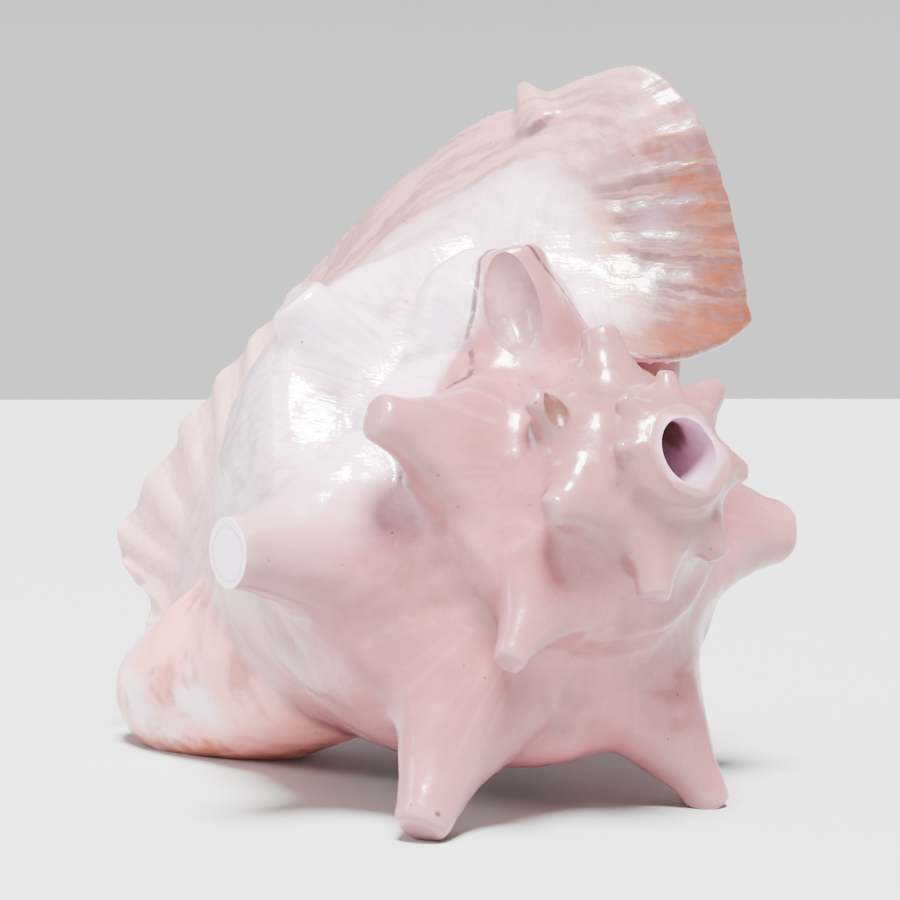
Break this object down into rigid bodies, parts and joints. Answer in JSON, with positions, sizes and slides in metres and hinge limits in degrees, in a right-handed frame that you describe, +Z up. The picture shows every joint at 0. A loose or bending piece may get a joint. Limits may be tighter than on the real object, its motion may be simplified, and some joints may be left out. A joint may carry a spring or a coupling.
{
  "type": "conch shell",
  "caption": "Large spiny marine snail shell with a flared lip, its spire tip sawn off to leave a round mouth for blowing as a horn.",
  "frame": {"origin": "centre of the bounding box in X and Y, on the floor the shell rests on", "axes": "+Z up, -Y the way the sawn spire mouth faces, +X the way the shell's opening faces"},
  "size_m": [0.1604, 0.2162, 0.1896],
  "materials": {
    "shell": "polished pink and cream shell"
  },
  "bodies": {
    "root": {"shell": "shell"}
  },
  "joints": []
}
